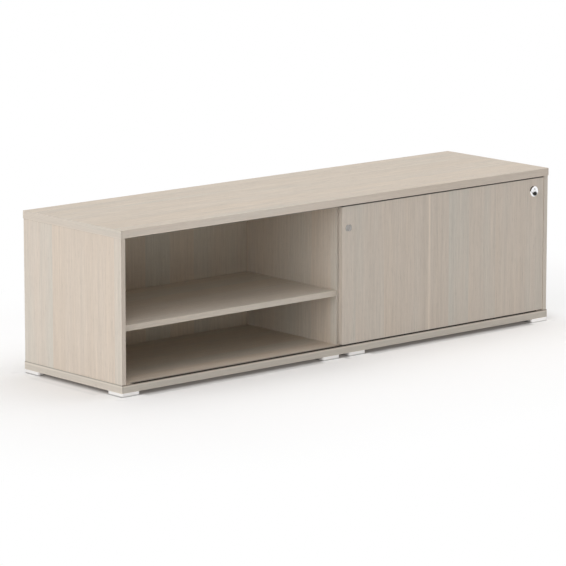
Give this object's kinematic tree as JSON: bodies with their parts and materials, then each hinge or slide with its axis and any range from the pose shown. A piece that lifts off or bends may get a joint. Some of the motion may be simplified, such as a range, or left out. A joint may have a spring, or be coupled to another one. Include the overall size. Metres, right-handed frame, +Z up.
{
  "type": "low cabinet with sliding door",
  "caption": "Long low wood laminate cabinet on square feet: an open shelved bay beside a closed bay behind one lockable sliding door that can be drawn across.",
  "frame": {"origin": "on the floor, under the middle of the case", "axes": "+X along the length to the right as seen from the front, +Y from the front to the back, +Z up"},
  "size_m": [1.8, 0.4875, 0.51],
  "materials": {
    "laminate_top": "light ash grain laminate, fine matt emboss",
    "laminate_body": "light ash grain laminate, fine matt emboss",
    "edge_band": "printed edge band, grain along the edge",
    "track_plastic": "dark brown moulded channel",
    "roller_plastic": "off-white nylon",
    "guide_plastic": "dark moulded",
    "buffer_rubber": "clear grey elastomer",
    "pull_metal": "satin",
    "lock_chrome": "polished",
    "fitting_steel": "zinc plated",
    "cap_plastic": "beige cap",
    "dowel_wood": "bare beech",
    "foot_plastic": "white moulded"
  },
  "bodies": {
    "case": {"top_panel": "laminate_top", "bottom_panel": "laminate_top", "top_edge_bands": "edge_band", "bottom_edge_bands": "edge_band", "left_side_panel": "laminate_body", "right_side_panel": "laminate_body", "partition": "laminate_body", "upright_edge_bands": "edge_band", "back_panel": "laminate_body", "open_shelf": "laminate_body", "closed_shelf": "laminate_body", "shelf_edge_bands": "edge_band", "shelf_pins": "fitting_steel", "dowels": "dowel_wood", "cam_bolts": "fitting_steel", "cams": "fitting_steel", "cam_caps": "cap_plastic", "bottom_track": "track_plastic", "top_track": "track_plastic", "door_buffers": "buffer_rubber", "lock_strike": "fitting_steel", "strike_screws": "fitting_steel", "feet": "foot_plastic", "foot_screws": "fitting_steel"},
    "door": {"door_panel": "laminate_body", "door_edge_bands": "edge_band", "roller_housings": "guide_plastic", "roller_axles": "fitting_steel", "guide_sleeves": "guide_plastic", "finger_pull": "pull_metal", "lock_rosette": "lock_chrome", "lock_nut": "fitting_steel"},
    "left_roller": {"left_roller": "roller_plastic"},
    "right_roller": {"right_roller": "roller_plastic"},
    "left_guide_pin": {"left_guide_pin": "roller_plastic"},
    "right_guide_pin": {"right_guide_pin": "roller_plastic"},
    "lock_plunger": {"lock_plunger": "lock_chrome"},
    "lock_key_plug": {"lock_key_plug": "lock_chrome"}
  },
  "joints": [
    {"name": "door_slide", "type": "slide", "parent": "case", "child": "door", "axis": [1, 0, 0], "range_m": [-0.873, 0]},
    {"name": "left_roller_spin", "type": "hinge", "parent": "door", "child": "left_roller", "pos_m": [0.0825, -0.228, 0.0438], "axis": [0, 1, 0], "continuous": true},
    {"name": "right_roller_spin", "type": "hinge", "parent": "door", "child": "right_roller", "pos_m": [0.7905, -0.228, 0.0438], "axis": [0, 1, 0], "continuous": true},
    {"name": "left_guide_press", "type": "slide", "parent": "door", "child": "left_guide_pin", "axis": [0, 0, 1], "range_m": [-0.009, 0], "stiffness_N_per_m": 250, "springref_m": 0.006},
    {"name": "right_guide_press", "type": "slide", "parent": "door", "child": "right_guide_pin", "axis": [0, 0, 1], "range_m": [-0.009, 0], "stiffness_N_per_m": 250, "springref_m": 0.006},
    {"name": "lock_push", "type": "slide", "parent": "door", "child": "lock_plunger", "axis": [0, 1, 0], "range_m": [0, 0.008], "stiffness_N_per_m": 300, "springref_m": -0.005},
    {"name": "key_turn", "type": "hinge", "parent": "lock_plunger", "child": "lock_key_plug", "pos_m": [0.8345, -0.237, 0.439], "axis": [0, 1, 0], "range_deg": [0, 90]}
  ],
  "couplings": [
    {"joint": "left_roller_spin", "follows": "door_slide", "rad_per_m": 71.429},
    {"joint": "right_roller_spin", "follows": "door_slide", "rad_per_m": 71.429}
  ]
}
